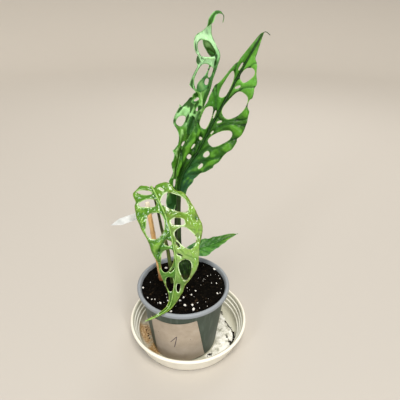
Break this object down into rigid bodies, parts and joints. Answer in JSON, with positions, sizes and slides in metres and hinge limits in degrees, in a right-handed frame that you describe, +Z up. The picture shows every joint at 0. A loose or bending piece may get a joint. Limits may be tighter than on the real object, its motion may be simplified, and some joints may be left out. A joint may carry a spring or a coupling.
{
  "type": "potted monstera plant",
  "caption": "Young perforated-leaf Monstera obliqua Peru in a tapered nursery pot with a paper label, bamboo stake and plant tag, standing on a round saucer.",
  "frame": {"origin": "centre of the saucer's flat underside, on the table", "axes": "+Z up, -Y towards the labelled front, +X to the right seen from the front"},
  "size_m": [0.181, 0.163, 0.4174],
  "materials": {
    "white_plastic": "satin, stained inside by water",
    "grey_plastic": "satin",
    "label_paper": "matte",
    "potting_mix": "rough, damp",
    "bamboo": "satin",
    "tag_plastic": "satin",
    "stem_green": "satin",
    "leaf_light": "glossy upper side",
    "leaf_dark": "glossy upper side",
    "leaf_pale": "satin, pale underside",
    "leaf_young": "satin"
  },
  "bodies": {
    "root": {"saucer": "white_plastic", "pot": "grey_plastic", "paper_label": "label_paper", "soil": "potting_mix", "stake": "bamboo", "plant_tag": "tag_plastic", "stem": "stem_green", "leaf_front": "leaf_light", "leaf_right": "leaf_dark", "leaf_left": "leaf_pale", "leaf_low": "leaf_young"}
  },
  "joints": []
}
